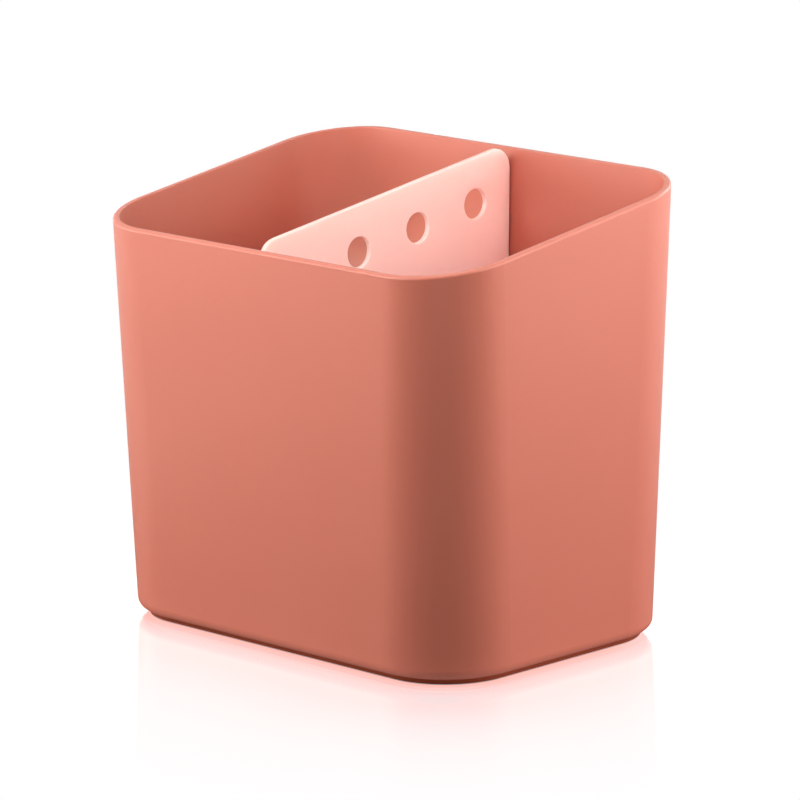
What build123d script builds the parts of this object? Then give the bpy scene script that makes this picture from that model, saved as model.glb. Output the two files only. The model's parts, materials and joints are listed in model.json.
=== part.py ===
from build123d import *
import math
import os

# Cutlery drainer: a tapered open container, a perforated floor that stands in
# it clear of the water, and a divider plate that stands in a channel on that
# floor and splits the container into two compartments.
# Millimetres. Origin at the middle of the base, +Z up, -Y is the low front
# wall, +Y the high back wall.

# ---------------------------------------------------------------- container
WIDTH = 140.0          # outside, at the level of the back rim (X)
DEPTH = 99.6           # outside, at the level of the back rim (Y)
FRONT_HEIGHT = 109.6   # rim height at the front wall
BACK_HEIGHT = 125.0    # rim height at the back wall
DRAFT = 0.0262         # inward slope of every wall, mm per mm of height (1.5 degrees)
CORNER_TOP = 21.9      # outside corner radius at the rim
CORNER_BASE = 23.8     # outside corner radius at the base
WALL = 1.9             # wall thickness
FOOT_HEIGHT = 1.5      # the base stands on a low ring
FOOT_INSET = 3.45      # ring set in from the wall line
FOOT_WIDTH = 2.2       # width of the ring
FOOT_CORNER = 19.3     # outside corner radius of the ring
FOOT_EDGE_ROUND = 0.15 # rounding on the ring's outer lower edge
BASE_THICK = 2.0       # thickness of the closed base
BASE_ROUND = 2.9       # outside rounding where wall meets base
INNER_ROUND = 2.0      # inside rounding where wall meets base
RIM_ROUND_OUT = 0.8    # rounding on the outer edge of the rim
RIM_ROUND_IN = 0.35    # rounding on the inner edge of the rim

# -------------------------------------------------------------- drain floor
FLOOR_TOP = 16.0       # level that the cutlery stands on
FLOOR_THICK = 2.0
FLOOR_GAP = 0.5        # clearance to the container wall all round
FLOOR_EDGE_ROUND = 0.5
LEG_DIAMETER = 7.0
LEG_TIP_DIAMETER = 6.0
LEG_GAP = 0.2          # legs end just clear of the base
DRAIN_HOLE = 6.0
DRAIN_HOLE_ROUND = 0.4 # rounding on the upper edge of each drain hole
DRAIN_COLUMNS = (14.0, 27.0, 40.0, 53.0)       # each side of the channel
DRAIN_ROWS = (-32.0, -19.2, -6.4, 6.4, 19.2, 32.0)
LEGS = ((-46.5, -25.6), (-46.5, 25.6), (46.5, -25.6), (46.5, 25.6), (-20.5, 0.0), (20.5, 0.0))
CHANNEL_RIB = 1.6      # thickness of each rib of the channel
CHANNEL_HEIGHT = 8.0   # height of the ribs above the floor
CHANNEL_LENGTH = 76.0
CHANNEL_CLEARANCE = 0.25   # between a rib and the divider's face

# ------------------------------------------------------------------ divider
DIVIDER_X = -0.7       # the plate's middle plane, a little off the centre
DIVIDER_THICK = 1.5
DIVIDER_RISE = 1.42    # its top edge stands this far above the rim line at the front
DIVIDER_RISE_MORE = 0.12   # and this much more at the back
DIVIDER_END_GAP = 0.3  # clearance between its ends and the walls
DIVIDER_BOTTOM = FLOOR_TOP + 0.2
DIVIDER_CORNER = 5.9   # upper corners
DIVIDER_FOOT_CORNER = 3.0
DIVIDER_EDGE_ROUND = 0.35
HOLE_DIAMETER = 8.4
HOLE_Y = (-33.6, -11.2, 11.2, 33.6)
HOLE_DROP = 13.0       # hole centres, straight down from the top edge

RIM_SLOPE = (BACK_HEIGHT - FRONT_HEIGHT) / DEPTH


def half_x(z):
    """Outside half width of the container at height z."""
    return WIDTH / 2 - DRAFT * (BACK_HEIGHT - z)


def half_y(z):
    """Outside half depth of the container at height z."""
    return DEPTH / 2 - DRAFT * (BACK_HEIGHT - z)


def corner(z):
    """Outside corner radius of the container at height z."""
    return CORNER_TOP + (CORNER_BASE - CORNER_TOP) * (BACK_HEIGHT - z) / BACK_HEIGHT


def rim_z(y):
    """Height of the sloping rim line at depth y."""
    return FRONT_HEIGHT + RIM_SLOPE * (y + DEPTH / 2)


def outline(z, inset):
    """Rounded rectangle at height z, set in from the container's outside."""
    return Pos(0, 0, z) * RectangleRounded(
        2 * (half_x(z) - inset), 2 * (half_y(z) - inset), corner(z) - inset
    )


def foot_outline(inset):
    """Outline of the foot ring at floor level, set in from its outer edge."""
    return RectangleRounded(
        2 * (half_x(0) - FOOT_INSET - inset), 2 * (half_y(0) - FOOT_INSET - inset), FOOT_CORNER - inset
    )


def tapered_block(z_low, z_high, inset):
    """Solid between two outlines of the tapered container."""
    return loft([outline(z_low, inset), outline(z_high, inset)], ruled=True)


def above_rim():
    """Everything above the sloping plane of the rim."""
    y0, y1, top = -80.0, 80.0, 190.0
    side = Plane.YZ * Polygon(
        (y0, rim_z(y0)), (y1, rim_z(y1)), (y1, top), (y0, top), align=None
    )
    return extrude(side, amount=100, both=True)


def edges_on_rim(shape, inset):
    """Edges of the rim's flat top that lie on the outline set in by inset."""
    found = []
    for e in shape.edges():
        on = True
        for t in (0.02, 0.5, 0.98):
            p = e @ t
            if abs(p.Z - rim_z(p.Y)) > 0.02:
                on = False
                break
            hx, hy, r = half_x(p.Z) - inset, half_y(p.Z) - inset, corner(p.Z) - inset
            dx, dy = abs(p.X) - (hx - r), abs(p.Y) - (hy - r)
            if dx > 0 and dy > 0:
                gap = math.hypot(dx, dy) - r
            else:
                gap = max(abs(p.X) - hx, abs(p.Y) - hy)
            if abs(gap) > 0.08:
                on = False
                break
        if on:
            found.append(e)
    return found


def edges_at(shape, z):
    return [e for e in shape.edges() if all(abs((e @ t).Z - z) < 1e-3 for t in (0.0, 0.5, 1.0))]


def make_container():
    outer = tapered_block(FOOT_HEIGHT, BACK_HEIGHT + 8, 0.0)
    outer = fillet(edges_at(outer, FOOT_HEIGHT), BASE_ROUND)
    inner = tapered_block(FOOT_HEIGHT + BASE_THICK, BACK_HEIGHT + 9, WALL)
    inner = fillet(edges_at(inner, FOOT_HEIGHT + BASE_THICK), INNER_ROUND)
    shell = outer - inner - above_rim()
    shell = fillet(edges_on_rim(shell, 0.0), RIM_ROUND_OUT)
    shell = fillet(edges_on_rim(shell, WALL), RIM_ROUND_IN)
    # foot ring under the base
    ring = extrude(foot_outline(0.0), amount=FOOT_HEIGHT + 0.4)
    ring = fillet(edges_at(ring, 0.0), FOOT_EDGE_ROUND)
    ring -= extrude(foot_outline(FOOT_WIDTH), amount=FOOT_HEIGHT)
    return shell + ring


def make_drain_floor():
    bottom = FLOOR_TOP - FLOOR_THICK
    plate = extrude(
        Pos(0, 0, bottom) * RectangleRounded(
            2 * (half_x(bottom) - WALL - FLOOR_GAP),
            2 * (half_y(bottom) - WALL - FLOOR_GAP),
            corner(bottom) - WALL - FLOOR_GAP,
        ),
        amount=FLOOR_THICK,
    )
    plate = fillet(edges_at(plate, FLOOR_TOP) + edges_at(plate, bottom), FLOOR_EDGE_ROUND)
    # round drain holes in both compartments
    for x in DRAIN_COLUMNS:
        for y in DRAIN_ROWS:
            for s in (-1, 1):
                plate -= Pos(s * x, y, bottom + FLOOR_THICK / 2) * Cylinder(DRAIN_HOLE / 2, FLOOR_THICK + 2)
    mouths = [e for e in edges_at(plate, FLOOR_TOP) if e.geom_type == GeomType.CIRCLE and abs(e.radius - DRAIN_HOLE / 2) < 1e-3]
    plate = fillet(mouths, DRAIN_HOLE_ROUND)
    # legs that hold the plate above the water
    leg_low = FOOT_HEIGHT + BASE_THICK + LEG_GAP
    leg_height = bottom - leg_low
    for x, y in LEGS:
        leg = Pos(x, y, leg_low + leg_height / 2) * Cone(LEG_TIP_DIAMETER / 2, LEG_DIAMETER / 2, leg_height)
        leg = fillet(edges_at(leg, leg_low), 0.6)
        plate += leg
    # channel that the divider stands in
    face = DIVIDER_THICK / 2 + CHANNEL_CLEARANCE
    for s in (-1, 1):
        rib = Pos(DIVIDER_X + s * (face + CHANNEL_RIB / 2), 0, FLOOR_TOP + CHANNEL_HEIGHT / 2) * Box(
            CHANNEL_RIB, CHANNEL_LENGTH, CHANNEL_HEIGHT
        )
        ends = [e for e in rib.edges().filter_by(Axis.X) if abs((e @ 0.5).Z - FLOOR_TOP - CHANNEL_HEIGHT) < 1e-3]
        rib = fillet(ends, 4.0)
        lip = [e for e in rib.edges() if (e @ 0.5).Z > FLOOR_TOP + 0.5 and abs(abs((e @ 0.5).X - DIVIDER_X) - face) < 1e-3]
        rib = chamfer(lip, 0.4)
        plate += rib
    return plate


def divider_end(z):
    """Half length of the divider at height z: it follows the inner walls."""
    return half_y(z) - WALL - DIVIDER_END_GAP


def make_divider():
    def top_z(y):
        return rim_z(y) + DIVIDER_RISE + DIVIDER_RISE_MORE * (y + DEPTH / 2) / DEPTH

    # upper corners of the plate, where its end lines meet its top line
    yf = -divider_end(FRONT_HEIGHT)
    yb = divider_end(BACK_HEIGHT)
    for _ in range(5):
        yf = -divider_end(top_z(yf))
        yb = divider_end(top_z(yb))
    low = divider_end(DIVIDER_BOTTOM)
    plate = Plane.YZ * Polygon(
        (-low, DIVIDER_BOTTOM), (low, DIVIDER_BOTTOM), (yb, top_z(yb)), (yf, top_z(yf)), align=None
    )
    solid = Pos(DIVIDER_X, 0, 0) * extrude(plate, amount=DIVIDER_THICK / 2, both=True)
    across = [e for e in solid.edges().filter_by(Axis.X)]
    solid = fillet([e for e in across if (e @ 0.5).Z > 60], DIVIDER_CORNER)
    solid = fillet(
        [e for e in solid.edges().filter_by(Axis.X) if abs((e @ 0.5).Z - DIVIDER_BOTTOM) < 1e-3],
        DIVIDER_FOOT_CORNER,
    )
    for y in HOLE_Y:
        z = top_z(y) - HOLE_DROP
        solid -= Pos(DIVIDER_X, y, z) * Rot(0, 90, 0) * Cylinder(HOLE_DIAMETER / 2, 10)
    faces = [f for f in solid.faces() if abs(abs(f.normal_at().X) - 1) < 1e-6 and f.area > 1000]
    rims = [e for f in faces for e in f.edges()]
    return fillet(rims, DIVIDER_EDGE_ROUND)


container = make_container()
drain_floor = make_drain_floor()
divider = make_divider()

os.makedirs("parts", exist_ok=True)
for name, shape in (
    ("container", container),
    ("drain_floor", drain_floor),
    ("divider", divider),
):
    box = shape.bounding_box()
    print(name, "solids", len(shape.solids()), "volume", round(shape.volume), box.min, box.max)
    export_step(shape, f"parts/{name}.step")
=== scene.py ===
import json
import math

import bpy
from mathutils import Matrix, Vector

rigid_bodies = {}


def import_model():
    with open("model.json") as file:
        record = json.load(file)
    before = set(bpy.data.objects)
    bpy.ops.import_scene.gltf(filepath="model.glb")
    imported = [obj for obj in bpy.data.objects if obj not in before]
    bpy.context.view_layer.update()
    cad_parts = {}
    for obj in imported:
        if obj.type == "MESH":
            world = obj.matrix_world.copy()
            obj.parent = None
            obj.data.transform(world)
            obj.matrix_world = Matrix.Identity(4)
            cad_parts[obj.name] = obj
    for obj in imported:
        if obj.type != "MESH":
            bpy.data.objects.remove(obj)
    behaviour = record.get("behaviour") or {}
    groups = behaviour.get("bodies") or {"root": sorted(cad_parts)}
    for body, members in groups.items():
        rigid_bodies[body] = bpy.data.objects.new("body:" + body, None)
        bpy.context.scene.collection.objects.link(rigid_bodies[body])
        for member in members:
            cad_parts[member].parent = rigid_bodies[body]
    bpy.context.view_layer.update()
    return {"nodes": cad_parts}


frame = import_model()
scene = bpy.context.scene

# ------------------------------------------------------------------ helpers


def new_material(name):
    m = bpy.data.materials.new(name)
    m.use_nodes = True
    m.node_tree.nodes.clear()
    return m, m.node_tree.nodes, m.node_tree.links


def noise(nodes, links, coord, scale, detail=2.0, roughness=0.5, distortion=0.0):
    n = nodes.new("ShaderNodeTexNoise")
    n.inputs["Scale"].default_value = scale
    n.inputs["Detail"].default_value = detail
    n.inputs["Roughness"].default_value = roughness
    n.inputs["Distortion"].default_value = distortion
    links.new(coord, n.inputs["Vector"])
    return n.outputs["Fac"]


def spread(nodes, links, value, low, high):
    """Maps a noise value of 0..1 to low..high."""
    n = nodes.new("ShaderNodeMapRange")
    n.inputs["From Min"].default_value = 0.3
    n.inputs["From Max"].default_value = 0.7
    n.inputs["To Min"].default_value = low
    n.inputs["To Max"].default_value = high
    links.new(value, n.inputs["Value"])
    return n.outputs["Result"]


def plastic(name, light, dark, roughness, specular, subsurface, radius, ior=1.46,
            grain_scale=2600.0, grain_height=0.000012, wave_height=0.00006):
    """Moulded plastic: slow colour drift, uneven gloss, a fine eroded grain and a faint waviness."""
    m, nodes, links = new_material(name)
    out = nodes.new("ShaderNodeOutputMaterial")
    p = nodes.new("ShaderNodeBsdfPrincipled")
    links.new(p.outputs["BSDF"], out.inputs["Surface"])
    coord = nodes.new("ShaderNodeTexCoord").outputs["Object"]

    drift = noise(nodes, links, coord, 14.0, 3.0, 0.55)
    fleck = noise(nodes, links, coord, 420.0, 2.0, 0.6)
    both = nodes.new("ShaderNodeMath")
    both.operation = "MULTIPLY_ADD"
    both.inputs[1].default_value = 0.25
    links.new(fleck, both.inputs[0])
    scaled = nodes.new("ShaderNodeMath")
    scaled.operation = "MULTIPLY"
    scaled.inputs[1].default_value = 0.75
    links.new(drift, scaled.inputs[0])
    links.new(scaled.outputs[0], both.inputs[2])
    mix = nodes.new("ShaderNodeMix")
    mix.data_type = "RGBA"
    mix.inputs["A"].default_value = (*dark, 1)
    mix.inputs["B"].default_value = (*light, 1)
    links.new(spread(nodes, links, both.outputs[0], 0.0, 1.0), mix.inputs["Factor"])
    links.new(mix.outputs["Result"], p.inputs["Base Color"])

    gloss = noise(nodes, links, coord, 60.0, 4.0, 0.6)
    links.new(spread(nodes, links, gloss, roughness - 0.03, roughness + 0.03), p.inputs["Roughness"])
    p.inputs["IOR"].default_value = ior
    p.inputs["Specular IOR Level"].default_value = specular
    if subsurface:
        p.inputs["Subsurface Weight"].default_value = subsurface
        p.inputs["Subsurface Radius"].default_value = radius
        p.inputs["Subsurface Scale"].default_value = 0.001

    grain = noise(nodes, links, coord, grain_scale, 2.0, 0.6)
    wave = noise(nodes, links, coord, 22.0, 1.0, 0.4)
    b1 = nodes.new("ShaderNodeBump")
    b1.inputs["Strength"].default_value = 1.0
    b1.inputs["Distance"].default_value = wave_height
    links.new(wave, b1.inputs["Height"])
    b2 = nodes.new("ShaderNodeBump")
    b2.inputs["Strength"].default_value = 1.0
    b2.inputs["Distance"].default_value = grain_height
    links.new(grain, b2.inputs["Height"])
    links.new(b1.outputs["Normal"], b2.inputs["Normal"])
    links.new(b2.outputs["Normal"], p.inputs["Normal"])
    return m


def put_on(node, material):
    o = frame["nodes"][node]
    o.data.materials.clear()
    o.data.materials.append(material)
    return o


# ---------------------------------------------------------------- materials

coral = plastic("coral_plastic_satin", (0.67, 0.1875, 0.130), (0.65, 0.1825, 0.126),
                0.42, 0.5, 0.0, (1, 0.4, 0.25))
pink = plastic("pink_plastic_translucent", (0.99, 0.545, 0.505), (0.98, 0.53, 0.49),
               0.38, 0.5, 1.0, (3.5, 2.4, 2.1), grain_height=0.000008)

put_on("container", coral)
put_on("drain_floor", pink)
put_on("divider", pink)

# ------------------------------------------------------------------- camera

cam_data = bpy.data.cameras.new("camera")
camera = bpy.data.objects.new("camera", cam_data)
scene.collection.objects.link(camera)
right = Vector((0.70769415, 0.70643305, -0.01101559))
up = Vector((-0.14511152, 0.16059419, 0.97629512))
back = Vector((0.69145617, -0.68931985, 0.21616314))
camera.matrix_world = Matrix((
    (right.x, up.x, back.x, 1.035821),
    (right.y, up.y, back.y, -1.028956),
    (right.z, up.z, back.z, 0.384828),
    (0, 0, 0, 1),
))
cam_data.sensor_fit = "HORIZONTAL"
cam_data.sensor_width = 36.0
cam_data.lens = 247.96
cam_data.clip_start = 0.01
cam_data.clip_end = 50.0
scene.camera = camera

# -------------------------------------------------------- floor and backdrop

# A plain white table, lit to plain white by itself. Close to the base it mirrors the object; the mirror is tinted
# pink and brightened, and it fades
# with distance from the foot: a real reflection, partly painted as a pink glow round the base.

# footprint of the container: half width, half depth and corner radius of its foot
standing = [v.co for v in frame["nodes"]["container"].data.vertices if v.co.z < 0.0004]
FOOT_X = max(abs(c.x) for c in standing)
FOOT_Y = max(abs(c.y) for c in standing)
FOOT_R = 0.0193
# strength of the floor's mirror and its painted pink glow against distance from the foot
MIRROR_AND_PAINTED_GLOW_FADE = ((0.0, 0.65), (0.0017, 0.62), (0.0033, 0.52), (0.0067, 0.400), (0.0100, 0.334), (0.0134, 0.290),
        (0.0165, 0.280), (0.020, 0.285), (0.0268, 0.245), (0.040, 0.157), (0.0536, 0.100), (0.067, 0.062), (0.084, 0.036), (0.12, 0.0))

# painted reflection: a glowing light coral that stands in for the lit rounded lower edge in the floor's mirror
PAINTED_UNDERSIDE_REFLECTION = (0.50, 0.155, 0.107)   # how the floor's mirror shows the rounded lower edge


def footprint(out, rounding=FOOT_R, steps=12):
    """The foot's outline, moved outward by out."""
    points = []
    r = rounding + out
    for sx, sy, start in ((1, 1, 0), (-1, 1, 90), (-1, -1, 180), (1, -1, 270)):
        for i in range(steps + 1):
            a = math.radians(start + 90 * i / steps)
            points.append((sx * (FOOT_X + out - r) + r * math.cos(a), sy * (FOOT_Y + out - r) + r * math.sin(a)))
    return points


def band(name, lower, upper, z_low, z_high, rounding=FOOT_R):
    """A closed strip between two outlines round the foot."""
    low, high = footprint(lower, rounding), footprint(upper, rounding)
    n = len(low)
    verts = [(x, y, z_low) for x, y in low] + [(x, y, z_high) for x, y in high]
    faces = [(i, (i + 1) % n, n + (i + 1) % n, n + i) for i in range(n)]
    mesh = bpy.data.meshes.new(name)
    mesh.from_pydata(verts, [], faces)
    mesh.update()
    o = bpy.data.objects.new(name, mesh)
    scene.collection.objects.link(o)
    return o


def glowing(name, colour, strength):
    m, nodes, links = new_material(name)
    e = nodes.new("ShaderNodeEmission")
    e.inputs["Color"].default_value = (*colour, 1)
    e.inputs["Strength"].default_value = strength
    links.new(e.outputs[0], nodes.new("ShaderNodeOutputMaterial").inputs["Surface"])
    return m


def unseen_by(o, *rays):
    for r in rays:
        setattr(o, "visible_" + r, False)


def lights_only(o, targets, name):
    c = bpy.data.collections.new(name)
    for t in targets:
        c.objects.link(t)
    o.light_linking.receiver_collection = c


def make_floor():
    bpy.ops.mesh.primitive_plane_add(size=12, location=(0, 0, -0.0001))
    o = bpy.context.object
    o.name = "studio_floor"
    m, nodes, links = new_material("floor_white_with_painted_glow")
    out = nodes.new("ShaderNodeOutputMaterial")
    mix = nodes.new("ShaderNodeMixShader")
    white = nodes.new("ShaderNodeEmission")
    white.inputs["Strength"].default_value = 1.0
    mirror = nodes.new("ShaderNodeBsdfGlossy")
    # pink tint above white: brightens the mirrored object into a painted pink glow
    mirror.inputs["Color"].default_value = (3.0, 1.57, 1.50, 1)
    mirror.inputs["Roughness"].default_value = 0.06
    links.new(white.outputs[0], mix.inputs[1])
    links.new(mirror.outputs[0], mix.inputs[2])
    links.new(mix.outputs[0], out.inputs["Surface"])

    # distance from the footprint, which sets the strength of the mirror and its painted pink glow
    def vector(operation, a, b=None):
        n = nodes.new("ShaderNodeVectorMath")
        n.operation = operation
        links.new(a, n.inputs[0])
        if b is not None:
            n.inputs[1].default_value = b
        return n.outputs["Value" if operation == "LENGTH" else 0]

    p = vector("MULTIPLY", nodes.new("ShaderNodeTexCoord").outputs["Object"], (1, 1, 0))
    p = vector("SUBTRACT", vector("ABSOLUTE", p), (FOOT_X - FOOT_R, FOOT_Y - FOOT_R, 0))
    d = vector("LENGTH", vector("MAXIMUM", p, (0, 0, 0)))
    away = nodes.new("ShaderNodeMapRange")
    away.inputs["From Min"].default_value = FOOT_R
    away.inputs["From Max"].default_value = FOOT_R + 0.12
    links.new(d, away.inputs["Value"])
    fade = nodes.new("ShaderNodeFloatCurve")
    curve = fade.mapping.curves[0]
    curve.points[0].location = (0.0, MIRROR_AND_PAINTED_GLOW_FADE[0][1])
    curve.points[1].location = (1.0, 0.0)
    for x, y in MIRROR_AND_PAINTED_GLOW_FADE[1:-1]:
        curve.points.new(x / 0.12, y)
    fade.mapping.update()
    links.new(away.outputs["Result"], fade.inputs["Value"])
    # the mirror and its painted pink glow are a little weaker beside the back of the object
    side = nodes.new("ShaderNodeSeparateXYZ")
    links.new(nodes["Texture Coordinate"].outputs["Object"], side.inputs[0])
    weaker = nodes.new("ShaderNodeMapRange")
    weaker.interpolation_type = "SMOOTHSTEP"
    weaker.inputs["From Min"].default_value = 0.012
    weaker.inputs["From Max"].default_value = 0.052
    weaker.inputs["To Min"].default_value = 1.0
    weaker.inputs["To Max"].default_value = 0.52
    links.new(side.outputs["Y"], weaker.inputs["Value"])
    share = nodes.new("ShaderNodeMath")
    share.operation = "MULTIPLY"
    links.new(fade.outputs[0], share.inputs[0])
    links.new(weaker.outputs["Result"], share.inputs[1])
    links.new(share.outputs[0], mix.inputs[0])
    o.data.materials.append(m)
    unseen_by(o, "diffuse", "glossy", "transmission", "shadow")
    return o


def make_surround(floor):
    """White surround that only the floor's mirror sees."""
    bpy.ops.mesh.primitive_uv_sphere_add(segments=48, ring_count=24, radius=5.0)
    o = bpy.context.object
    o.name = "studio_surround"
    o.data.materials.append(glowing("surround_white", (1, 1, 1), 1.0))
    unseen_by(o, "camera", "diffuse", "transmission", "shadow")
    lights_only(o, [floor], "lit_by_surround")
    return o


def make_floor_glow(targets):
    """The white table's light on the rounded lower edge of the object."""
    o = band("studio_floor_glow", 0.0015, 0.0065, -0.0001, -0.0001)
    o.data.materials.append(glowing("floor_glow", (1, 1, 1), 0.7))
    unseen_by(o, "camera", "glossy", "transmission", "shadow")
    lights_only(o, targets, "lit_by_floor_glow")
    return o


def make_foot_flag():
    """A low tinted card round the foot. It keeps most of the side lights off it, and it glows for the floor's
    mirror: a painted reflection of the lit lower edge where the dark foot stands.
    """
    o = band("studio_foot_flag", 0.00005, 0.00005, 0.0, 0.0012)
    m, nodes, links = new_material("flag")
    through = nodes.new("ShaderNodeBsdfTransparent")
    through.inputs["Color"].default_value = (0.50, 0.33, 0.23, 1)
    # painted reflection: the floor's mirror sees this glow in place of the shaded foot
    painted_reflection_glow = nodes.new("ShaderNodeEmission")
    painted_reflection_glow.inputs["Color"].default_value = (*PAINTED_UNDERSIDE_REFLECTION, 1)
    both = nodes.new("ShaderNodeAddShader")
    links.new(through.outputs[0], both.inputs[0])
    links.new(painted_reflection_glow.outputs[0], both.inputs[1])
    links.new(both.outputs[0], nodes.new("ShaderNodeOutputMaterial").inputs["Surface"])
    o.data.materials.append(m)
    unseen_by(o, "camera")
    lights_only(o, [floor], "lit_by_foot_flag")
    return o


def make_mirror_skirt():
    """Follows the rounded edge under the wall. Only the floor's mirror sees it: a glowing band in light coral, a
    painted reflection of the lit lower edge.
    """
    parts = []
    angles = range(20, 91, 10)
    profile = [(0.00345 - 0.0029 * (1 - math.cos(math.radians(a))) + 0.00006,
                0.0015 + 0.0029 * (1 - math.sin(math.radians(a))) - 0.00006) for a in angles]
    profile.append((0.0001, 0.00144))
    for i in range(len(profile) - 1):
        (r0, z0), (r1, z1) = profile[i], profile[i + 1]
        o = band("studio_mirror_skirt_%d" % i, r1, r0, z1, z0, 0.02035)
        # painted reflection: the band glows in the lit lower edge's colour
        o.data.materials.append(glowing("painted_reflection_skirt", PAINTED_UNDERSIDE_REFLECTION, 1.0))
        unseen_by(o, "camera", "diffuse", "transmission", "shadow")
        lights_only(o, [floor], "lit_by_skirt_%d" % i)
        parts.append(o)
    return parts


floor = make_floor()
surround = make_surround(floor)
painted_reflection_skirt = make_mirror_skirt()
floor_glow = make_floor_glow([frame["nodes"]["container"]])
foot_flag = make_foot_flag()

# ------------------------------------------------------------------- lights

# Soft boxes round the object. They light the object only: the floor is white by itself.
lit = bpy.data.collections.new("lit_by_softboxes")
for o in frame["nodes"].values():
    lit.objects.link(o)


only_divider = bpy.data.collections.new("lit_by_divider_lights")
only_divider.objects.link(frame["nodes"]["divider"])
no_divider = bpy.data.collections.new("lit_from_above")
for n in ("container", "drain_floor"):
    no_divider.objects.link(frame["nodes"][n])


def softbox(name, turn, distance, height, width, tall, aim, strength, colour=(1, 1, 1), targets=lit):
    """turn is measured from the camera's side, anticlockwise seen from above, in degrees."""
    a = math.radians(45.1 + turn)
    where = Vector((math.sin(a) * distance, -math.cos(a) * distance, height))
    d = bpy.data.lights.new(name, "AREA")
    d.shape = "RECTANGLE"
    d.size, d.size_y = width, tall
    d.energy = 5.0 * strength
    d.color = colour
    o = bpy.data.objects.new(name, d)
    scene.collection.objects.link(o)
    o.location = where
    o.rotation_mode = "QUATERNION"
    o.rotation_quaternion = (where - Vector((0, 0, aim))).normalized().to_track_quat("Z", "Y")
    o.visible_camera = False
    o.light_linking.receiver_collection = targets
    return o


softbox("upper_060", 60, 0.8, 0.4, 0.28, 0.24, 0.27, 0.129, (0.90, 1.00, 0.92))
softbox("upper_080", 80, 0.8, 0.4, 0.28, 0.24, 0.27, 0.223, (0.87, 1.00, 0.98))
softbox("upper_260", 260, 0.8, 0.4, 0.28, 0.24, 0.27, 0.187, (0.87, 1.00, 0.93))
softbox("upper_280", 280, 0.8, 0.4, 0.28, 0.24, 0.27, 0.311, (0.99, 1.00, 0.96))
softbox("lower_060", 60, 0.8, 0.13, 0.28, 0.22, 0.13, 0.116, (1.00, 0.75, 0.65))
softbox("lower_080", 80, 0.8, 0.13, 0.28, 0.22, 0.13, 0.259, (1.00, 0.89, 0.87))
softbox("lower_100", 100, 0.8, 0.13, 0.28, 0.22, 0.13, 0.345, (1.00, 0.89, 0.89))
softbox("lower_120", 120, 0.8, 0.13, 0.28, 0.22, 0.13, 0.180, (1.00, 0.56, 0.55))
softbox("lower_240", 240, 0.8, 0.13, 0.28, 0.22, 0.13, 0.179, (0.83, 1.00, 0.94))
softbox("lower_260", 260, 0.8, 0.13, 0.28, 0.22, 0.13, 0.250, (1.00, 0.91, 0.87))
softbox("lower_280", 280, 0.8, 0.13, 0.28, 0.22, 0.13, 0.244, (1.00, 0.91, 0.85))
softbox("front_000", 0, 0.9, 0.2, 0.3, 0.3, 0.1, 0.213, (1.00, 0.92, 0.81))
softbox("near_high_060", 60, 0.32, 0.28, 0.16, 0.16, 0.1, 0.057, (0.94, 1.00, 0.97))
softbox("near_high_300", 300, 0.32, 0.28, 0.16, 0.16, 0.1, 0.070, (0.96, 1.00, 0.97))
softbox("near_050", 50, 0.24, 0.24, 0.12, 0.1, 0.12, 0.033, (0.93, 1.00, 0.97))
softbox("near_120", 120, 0.3, 0.2, 0.12, 0.1, 0.08, 0.069, (0.30, 0.92, 1.00))
softbox("near_310", 310, 0.24, 0.24, 0.12, 0.1, 0.12, 0.047, (0.96, 1.00, 0.97))
softbox("overhead", 0, 0.001, 2.0, 0.2, 0.2, 0, 2.9, (0.87, 1.00, 1.00), no_divider)
softbox("divider_045", 45, 0.5, 0.42, 0.3, 0.24, 0.1, 0.141, (1.00, 0.97, 0.96), only_divider)
softbox("divider_225", 225, 0.45, 0.5, 0.3, 0.3, 0.1, 0.020, (0.90, 1.00, 1.00), only_divider)
softbox("divider_350", -10, 0.5, 0.42, 0.3, 0.24, 0.1, 0.079, (0.76, 1.00, 0.98), only_divider)
softbox("divider_low_005", 5, 0.6, 0.29, 0.3, 0.2, 0.1, 0.224, (0.99, 1.00, 0.98), only_divider)
softbox("near_low_left", 262, 0.19, 0.02, 0.05, 0.04, 0.02, 0.0016)
softbox("low_back", 180, 0.70, 0.06, 0.60, 0.12, 0.06, 0.35)

# Light gathered behind the plate, on the wall that shows through its holes.
d = bpy.data.lights.new("behind_divider", "AREA")
d.shape = "RECTANGLE"
d.size, d.size_y = 0.055, 0.008
d.energy = 0.0042
d.color = (0.65, 1.00, 0.98)
o = bpy.data.objects.new("behind_divider", d)
scene.collection.objects.link(o)
tilt = math.radians(25)
o.matrix_world = Matrix((
    (math.cos(tilt), -math.sin(tilt), 0, -0.037),
    (0, 0, -1, 0.031),
    (math.sin(tilt), math.cos(tilt), 0, 0.089),
    (0, 0, 0, 1),
))
o.visible_camera = False
lights_only(o, [frame["nodes"]["container"]], "lit_by_divider")


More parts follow.
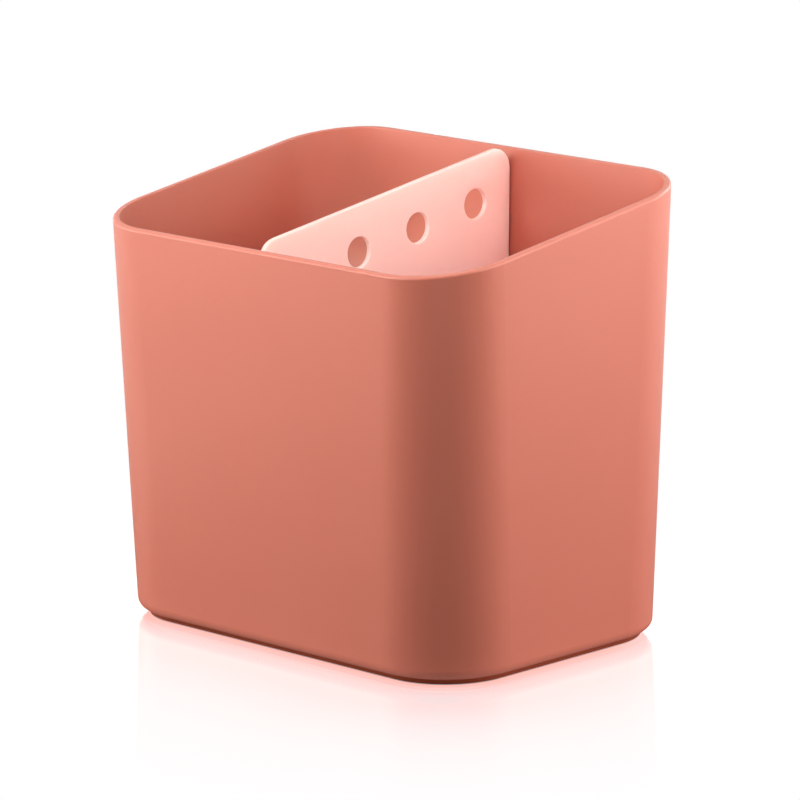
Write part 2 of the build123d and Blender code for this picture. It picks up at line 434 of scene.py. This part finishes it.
def make_card(name, z_low, lights):
    """Upright card between the divider's own lights and a plate that is lifted out. It shades nothing else."""
    verts, faces = [], []
    for i in range(25):
        a = math.radians(45.1 - 75 + 7.5 * i)
        verts += [(math.sin(a) * 0.1, -math.cos(a) * 0.1, z) for z in (z_low, 1.2)]
    for i in range(24):
        faces.append((2 * i, 2 * i + 2, 2 * i + 3, 2 * i + 1))
    mesh = bpy.data.meshes.new(name)
    mesh.from_pydata(verts, [], faces)
    mesh.update()
    o = bpy.data.objects.new(name, mesh)
    scene.collection.objects.link(o)
    m, nodes, links = new_material(name)
    links.new(nodes.new("ShaderNodeBsdfDiffuse").outputs[0], nodes.new("ShaderNodeOutputMaterial").inputs["Surface"])
    o.data.materials.append(m)
    unseen_by(o, "camera", "diffuse", "glossy", "transmission")
    for light in lights:
        light.light_linking.blocker_collection = shading(name + "_shading", [o])
    return o


def shading(name, extra=()):
    """What casts shadows in a light: the object, the low card round its foot and anything extra."""
    c = bpy.data.collections.new(name)
    for t in list(frame["nodes"].values()) + [foot_flag] + list(extra):
        c.objects.link(t)
    return c


object_only = shading("object_shading")
for o in scene.objects:
    if o.type == "LIGHT":
        o.light_linking.blocker_collection = object_only
make_card("studio_card_high", 0.225, [bpy.data.objects[n] for n in ("divider_045", "divider_350")])
make_card("studio_card_low", 0.182, [bpy.data.objects["divider_low_005"]])


def make_backdrop(turn_from, turn_to, radius, z_low, z_high, steps=28):
    """White backdrop behind the object. Only glossy reflections and the floor's mirror see it."""
    verts, faces = [], []
    for i in range(steps + 1):
        a = math.radians(45.1 + turn_from + (turn_to - turn_from) * i / steps)
        verts += [(math.sin(a) * radius, -math.cos(a) * radius, z) for z in (z_low, z_high)]
    for i in range(steps):
        faces.append((2 * i, 2 * i + 2, 2 * i + 3, 2 * i + 1))
    mesh = bpy.data.meshes.new("studio_backdrop")
    mesh.from_pydata(verts, [], faces)
    mesh.update()
    o = bpy.data.objects.new("studio_backdrop", mesh)
    scene.collection.objects.link(o)
    o.data.materials.append(glowing("backdrop_white", (1, 1, 1), 1.0))
    unseen_by(o, "camera", "diffuse", "transmission", "shadow")
    lights_only(o, [floor] + list(frame["nodes"].values()), "lit_by_backdrop")
    o.light_linking.blocker_collection = object_only
    return o


backdrop = make_backdrop(110, 250, 1.5, -0.3, 2.2)

world = bpy.data.worlds.new("studio_world")
world.use_nodes = True
wn, wl = world.node_tree.nodes, world.node_tree.links
wn.clear()
seen = wn.new("ShaderNodeLightPath").outputs["Is Camera Ray"]
sky = wn.new("ShaderNodeBackground")
sky.inputs["Color"].default_value = (1, 1, 1, 1)
wl.new(seen, sky.inputs["Strength"])
wl.new(sky.outputs[0], wn.new("ShaderNodeOutputWorld").inputs["Surface"])
scene.world = world

scene.view_settings.view_transform = "Standard"
scene.view_settings.look = "None"
